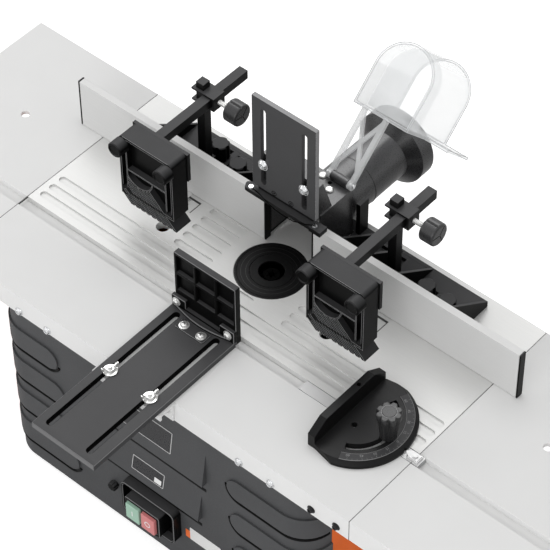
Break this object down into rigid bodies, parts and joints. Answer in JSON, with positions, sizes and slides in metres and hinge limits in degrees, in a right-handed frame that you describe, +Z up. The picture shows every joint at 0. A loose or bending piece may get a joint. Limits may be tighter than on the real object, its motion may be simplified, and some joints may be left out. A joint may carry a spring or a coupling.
{
  "type": "spindle moulder",
  "caption": "Bench spindle moulder with extension wings, split fence, dust hood, comb pressers, side presser, mitre gauge and rise-and-fall spindle.",
  "frame": {"origin": "on the spindle axis, in the plane the feet stand on", "axes": "+X along the fence to the operator's right, +Y from the operator towards the dust port, +Z up the spindle axis"},
  "size_m": [1.029, 0.6444, 0.56],
  "materials": {
    "charcoal_paint": "semi-gloss charcoal paint",
    "orange_paint": "semi-gloss orange paint",
    "light_plate": "very light grey satin",
    "table_metal": "fine brushed, slightly mottled",
    "fence_aluminium": "brushed",
    "cast_grey": "as cast",
    "dark_paint": "black satin paint",
    "ground_steel": "ground",
    "zinc": "bright zinc",
    "black_plastic": "soft gloss black",
    "satin_plastic": "satin charcoal",
    "clear_plastic": "clear",
    "rubber": "matt",
    "green_plastic": "soft gloss green",
    "red_plastic": "soft gloss red"
  },
  "bodies": {
    "base": {"body_shell": "charcoal_paint", "side_panel_left": "orange_paint", "side_panel_right": "orange_paint", "feet": "rubber", "ribbed_plate": "table_metal", "front_plate": "light_plate", "wing_left": "light_plate", "wing_right": "light_plate", "wing_brackets": "dark_paint", "table_screws": "zinc", "ring_outer": "black_plastic", "ring_inner": "black_plastic", "lift_frame": "dark_paint", "slide_bracket": "light_plate", "switch_tray": "black_plastic"},
    "spindle_carriage": {"motor_carrier": "cast_grey", "motor": "dark_paint"},
    "spindle": {"spindle_shaft": "ground_steel", "spindle_nut": "zinc"},
    "lift_screw": {"lift_screw": "ground_steel"},
    "handwheel": {"handwheel": "black_plastic"},
    "handwheel_grip": {"handwheel_grip": "black_plastic"},
    "carrier": {"fence_carrier": "black_plastic", "dust_housing": "black_plastic", "dust_port": "black_plastic", "guard_screws": "zinc", "hood_pin": "zinc", "post_left": "dark_paint", "post_right": "dark_paint"},
    "fence_left": {"fence_left": "fence_aluminium", "fence_cap_left": "black_plastic"},
    "fence_right": {"fence_right": "fence_aluminium", "fence_cap_right": "black_plastic"},
    "guard_plate": {"guard_plate": "black_plastic"},
    "clear_hood": {"clear_hood": "clear_plastic"},
    "slide_plate": {"slide_plate": "satin_plastic"},
    "wing_nut_left": {"wing_nut_left": "zinc"},
    "wing_nut_right": {"wing_nut_right": "zinc"},
    "mitre_bar": {"mitre_bar": "ground_steel"},
    "mitre_head": {"mitre_head": "black_plastic"},
    "mitre_knob": {"mitre_knob": "black_plastic"},
    "button_green": {"button_green": "green_plastic"},
    "button_red": {"button_red": "red_plastic"},
    "reset_button": {"reset_button": "black_plastic"},
    "clamp_left": {"clamp_left": "dark_paint"},
    "clamp_knob_left": {"clamp_knob_left": "black_plastic"},
    "arm_left": {"arm_left": "dark_paint"},
    "comb_left": {"comb_left": "black_plastic"},
    "comb_knob_left_a": {"comb_knob_left_a": "black_plastic"},
    "comb_knob_left_b": {"comb_knob_left_b": "black_plastic"},
    "clamp_right": {"clamp_right": "dark_paint"},
    "clamp_knob_right": {"clamp_knob_right": "black_plastic"},
    "arm_right": {"arm_right": "dark_paint"},
    "comb_right": {"comb_right": "black_plastic"},
    "comb_knob_right_a": {"comb_knob_right_a": "black_plastic"},
    "comb_knob_right_b": {"comb_knob_right_b": "black_plastic"},
    "lock_knob_a": {"lock_knob_a": "black_plastic"},
    "lock_knob_b": {"lock_knob_b": "black_plastic"},
    "lock_knob_c": {"lock_knob_c": "black_plastic"},
    "lock_knob_d": {"lock_knob_d": "black_plastic"}
  },
  "joints": [
    {"name": "spindle_lift", "type": "slide", "parent": "base", "child": "spindle_carriage", "axis": [0, 0, 1], "range_m": [0, 0.04]},
    {"name": "spindle_spin", "type": "hinge", "parent": "spindle_carriage", "child": "spindle", "pos_m": [0, 0, 0.297], "axis": [0, 0, 1], "continuous": true},
    {"name": "lift_screw_turn", "type": "hinge", "parent": "base", "child": "lift_screw", "pos_m": [0, 0.062, 0.167], "axis": [0, 0, 1], "range_deg": [-1800, 0]},
    {"name": "handwheel_turn", "type": "hinge", "parent": "base", "child": "handwheel", "pos_m": [0.26, 0.062, 0.107], "axis": [1, 0, 0], "range_deg": [-1800, 0]},
    {"name": "grip_spin", "type": "hinge", "parent": "handwheel", "child": "handwheel_grip", "pos_m": [0.28, 0.062, 0.144], "axis": [1, 0, 0], "continuous": true},
    {"name": "carrier_slide", "type": "slide", "parent": "base", "child": "carrier", "axis": [0, 1, 0], "range_m": [-0.008, 0.0015]},
    {"name": "fence_left_slide", "type": "slide", "parent": "carrier", "child": "fence_left", "axis": [1, 0, 0], "range_m": [-0.025, 0.01]},
    {"name": "fence_right_slide", "type": "slide", "parent": "carrier", "child": "fence_right", "axis": [1, 0, 0], "range_m": [-0.01, 0.025]},
    {"name": "guard_plate_slide", "type": "slide", "parent": "carrier", "child": "guard_plate", "axis": [0, 0, 1], "range_m": [-0.075, 0.016]},
    {"name": "hood_swing", "type": "hinge", "parent": "carrier", "child": "clear_hood", "pos_m": [0.02, 0.1, 0.41], "axis": [1, 0, 0], "range_deg": [0, 55]},
    {"name": "clamp_left_height", "type": "slide", "parent": "carrier", "child": "clamp_left", "axis": [0, 0, 1], "range_m": [-0.025, 0.005]},
    {"name": "clamp_knob_left_turn", "type": "hinge", "parent": "clamp_left", "child": "clamp_knob_left", "pos_m": [-0.119, 0.074, 0.45], "axis": [1, 0, 0], "continuous": true},
    {"name": "arm_left_slide", "type": "slide", "parent": "clamp_left", "child": "arm_left", "axis": [0, 1, 0], "range_m": [-0.03, 0.02]},
    {"name": "comb_left_height", "type": "slide", "parent": "arm_left", "child": "comb_left", "axis": [0, 0, 1], "range_m": [0, 0.055]},
    {"name": "comb_knob_left_a_turn", "type": "hinge", "parent": "arm_left", "child": "comb_knob_left_a", "pos_m": [-0.187, -0.058, 0.447], "axis": [0, 1, 0], "continuous": true},
    {"name": "comb_knob_left_b_turn", "type": "hinge", "parent": "arm_left", "child": "comb_knob_left_b", "pos_m": [-0.116, -0.058, 0.447], "axis": [0, 1, 0], "continuous": true},
    {"name": "clamp_right_height", "type": "slide", "parent": "carrier", "child": "clamp_right", "axis": [0, 0, 1], "range_m": [-0.025, 0.005]},
    {"name": "clamp_knob_right_turn", "type": "hinge", "parent": "clamp_right", "child": "clamp_knob_right", "pos_m": [0.1785, 0.074, 0.45], "axis": [1, 0, 0], "continuous": true},
    {"name": "arm_right_slide", "type": "slide", "parent": "clamp_right", "child": "arm_right", "axis": [0, 1, 0], "range_m": [-0.03, 0.02]},
    {"name": "comb_right_height", "type": "slide", "parent": "arm_right", "child": "comb_right", "axis": [0, 0, 1], "range_m": [0, 0.055]},
    {"name": "comb_knob_right_a_turn", "type": "hinge", "parent": "arm_right", "child": "comb_knob_right_a", "pos_m": [0.1105, -0.067, 0.447], "axis": [0, 1, 0], "continuous": true},
    {"name": "comb_knob_right_b_turn", "type": "hinge", "parent": "arm_right", "child": "comb_knob_right_b", "pos_m": [0.1815, -0.067, 0.447], "axis": [0, 1, 0], "continuous": true},
    {"name": "lock_knob_a_turn", "type": "hinge", "parent": "base", "child": "lock_knob_a", "pos_m": [-0.166, 0.0965, 0.337], "axis": [0, 0, 1], "continuous": true},
    {"name": "lock_knob_b_turn", "type": "hinge", "parent": "base", "child": "lock_knob_b", "pos_m": [-0.127, 0.084, 0.337], "axis": [0, 0, 1], "continuous": true},
    {"name": "lock_knob_c_turn", "type": "hinge", "parent": "base", "child": "lock_knob_c", "pos_m": [0.172, 0.078, 0.337], "axis": [0, 0, 1], "continuous": true},
    {"name": "lock_knob_d_turn", "type": "hinge", "parent": "base", "child": "lock_knob_d", "pos_m": [0.2045, 0.075, 0.337], "axis": [0, 0, 1], "continuous": true},
    {"name": "presser_slide", "type": "slide", "parent": "base", "child": "slide_plate", "axis": [0, 1, 0], "range_m": [-0.1, 0.07]},
    {"name": "wing_nut_left_turn", "type": "hinge", "parent": "base", "child": "wing_nut_left", "pos_m": [-0.034, -0.243, 0.331], "axis": [0, 0, 1], "continuous": true},
    {"name": "wing_nut_right_turn", "type": "hinge", "parent": "base", "child": "wing_nut_right", "pos_m": [0.028, -0.243, 0.331], "axis": [0, 0, 1], "continuous": true},
    {"name": "gauge_slide", "type": "slide", "parent": "base", "child": "mitre_bar", "axis": [1, 0, 0], "range_m": [-0.01, 0.16]},
    {"name": "gauge_swivel", "type": "hinge", "parent": "mitre_bar", "child": "mitre_head", "pos_m": [0.222, -0.10955, 0.322], "axis": [0, 0, 1], "range_deg": [-60, 60]},
    {"name": "gauge_knob_turn", "type": "hinge", "parent": "mitre_bar", "child": "mitre_knob", "pos_m": [0.268, -0.10955, 0.347], "axis": [0, 0, 1], "continuous": true},
    {"name": "green_press", "type": "slide", "parent": "base", "child": "button_green", "axis": [0, 1, 0], "range_m": [0, 0.003], "stiffness_N_per_m": 600, "springref_m": -0.001},
    {"name": "red_press", "type": "slide", "parent": "base", "child": "button_red", "axis": [0, 1, 0], "range_m": [0, 0.003], "stiffness_N_per_m": 600, "springref_m": -0.001},
    {"name": "reset_press", "type": "slide", "parent": "base", "child": "reset_button", "axis": [0, 1, 0], "range_m": [0, 0.002], "stiffness_N_per_m": 600, "springref_m": -0.001}
  ],
  "couplings": [
    {"joint": "lift_screw_turn", "follows": "spindle_lift", "rad_per_m": -785.4},
    {"joint": "handwheel_turn", "follows": "spindle_lift", "rad_per_m": -785.4}
  ]
}
